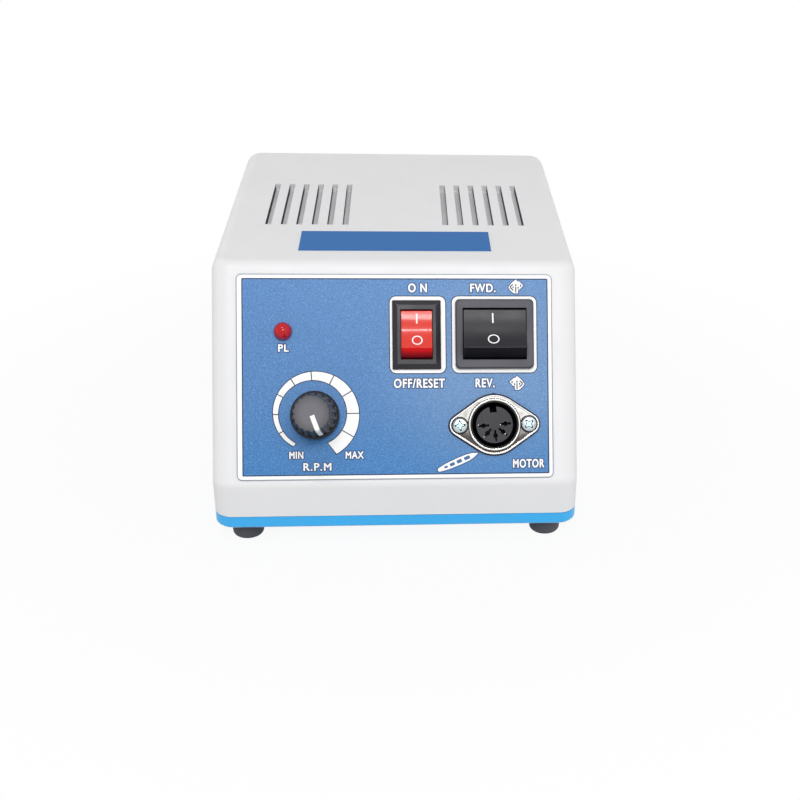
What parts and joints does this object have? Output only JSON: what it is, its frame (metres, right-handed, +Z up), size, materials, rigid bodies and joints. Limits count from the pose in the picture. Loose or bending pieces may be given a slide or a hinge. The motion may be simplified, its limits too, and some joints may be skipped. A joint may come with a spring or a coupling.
{
  "type": "dental micromotor control unit",
  "caption": "Sloped-front bench control unit for a dental micromotor, with a speed knob, rocker switches, a pilot lamp and a round motor socket.",
  "frame": {"origin": "middle of the footprint at floor level", "axes": "+Z up, front towards -Y, +X to the right of a person facing the front"},
  "size_m": [0.1164, 0.1719, 0.0845],
  "materials": {
    "cover_white": "fine satin moulded",
    "tray_blue": "smooth moulded",
    "foot_rubber": "matt",
    "zinc_steel": "zinc plated",
    "screen_grey": "plain card",
    "overlay_blue": "printed sheet",
    "knob_black": "satin moulded",
    "mark_white": "moulded inlay",
    "switch_black": "satin moulded",
    "rocker_red": "gloss moulded",
    "lamp_red": "clear tinted resin",
    "nickel": "nickel plated",
    "insulator_black": "moulded",
    "brass_tin": "plain",
    "fuse_clear": "clear",
    "core_iron": "varnished laminations",
    "bobbin_cream": "moulded",
    "board_green": "solder mask",
    "component_black": "moulded epoxy",
    "relay_blue": "moulded",
    "sink_aluminium": "anodised"
  },
  "bodies": {
    "chassis": {"upper_cover": "cover_white", "base_tray": "tray_blue", "rubber_feet": "foot_rubber", "case_screws": "zinc_steel", "dust_screens": "screen_grey", "top_label": "overlay_blue", "front_overlay": "overlay_blue", "pot_bush": "zinc_steel", "pot_case": "zinc_steel", "pot_washer": "zinc_steel", "pot_nut": "zinc_steel", "pot_terminals": "brass_tin", "power_switch_body": "switch_black", "power_switch_terminals": "brass_tin", "direction_switch_body": "switch_black", "direction_switch_terminals": "brass_tin", "mode_switch_body": "switch_black", "mode_switch_terminals": "brass_tin", "pilot_lamp": "lamp_red", "lamp_clip": "switch_black", "lamp_leads": "zinc_steel", "socket_shell": "nickel", "socket_insulator": "insulator_black", "contact_base": "insulator_black", "contact_island": "insulator_black", "socket_contacts": "brass_tin", "socket_screws": "nickel", "socket_nuts": "nickel", "cord_grommet": "foot_rubber", "fuse_holder": "switch_black", "fuse_holder_nut": "switch_black", "fuse_terminals": "brass_tin", "pedal_jack": "switch_black", "pedal_jack_nut": "zinc_steel", "transformer_core": "core_iron", "transformer_bobbin": "bobbin_cream", "transformer_winding": "brass_tin", "transformer_bracket": "zinc_steel", "transformer_screws": "zinc_steel", "control_board": "board_green", "board_screws": "zinc_steel", "filter_capacitor": "component_black", "bridge_rectifier": "component_black", "heat_sink": "sink_aluminium", "power_transistor": "component_black", "board_relay": "relay_blue", "board_headers": "bobbin_cream"},
    "knob": {"speed_knob": "knob_black", "knob_pointer": "mark_white", "pot_shaft": "zinc_steel", "pot_wiper": "brass_tin"},
    "power_key": {"power_rocker": "rocker_red"},
    "direction_key": {"direction_rocker": "switch_black"},
    "mode_key": {"mode_rocker": "switch_black"},
    "fuse_carrier": {"fuse_cap": "switch_black", "fuse_glass": "fuse_clear", "fuse_end_caps": "nickel"}
  },
  "joints": [
    {"name": "speed_turn", "type": "hinge", "parent": "chassis", "child": "knob", "pos_m": [-0.0255, -0.06749, 0.04205], "axis": [0, -0.866, 0.5], "range_deg": [0, 300]},
    {"name": "power_rock", "type": "hinge", "parent": "chassis", "child": "power_key", "pos_m": [0.0066, -0.0547, 0.064], "axis": [1, 0, 0], "range_deg": [0, 34]},
    {"name": "direction_rock", "type": "hinge", "parent": "chassis", "child": "direction_key", "pos_m": [0.0314, -0.0546, 0.06417], "axis": [1, 0, 0], "range_deg": [0, 34]},
    {"name": "mode_rock", "type": "hinge", "parent": "chassis", "child": "mode_key", "pos_m": [0.014, 0.07611, 0.038], "axis": [-1, 0, 0], "range_deg": [0, 34]},
    {"name": "fuse_turn", "type": "hinge", "parent": "chassis", "child": "fuse_carrier", "pos_m": [-0.008, 0.07651, 0.036], "axis": [0, 1, 0], "range_deg": [0, 60]}
  ]
}
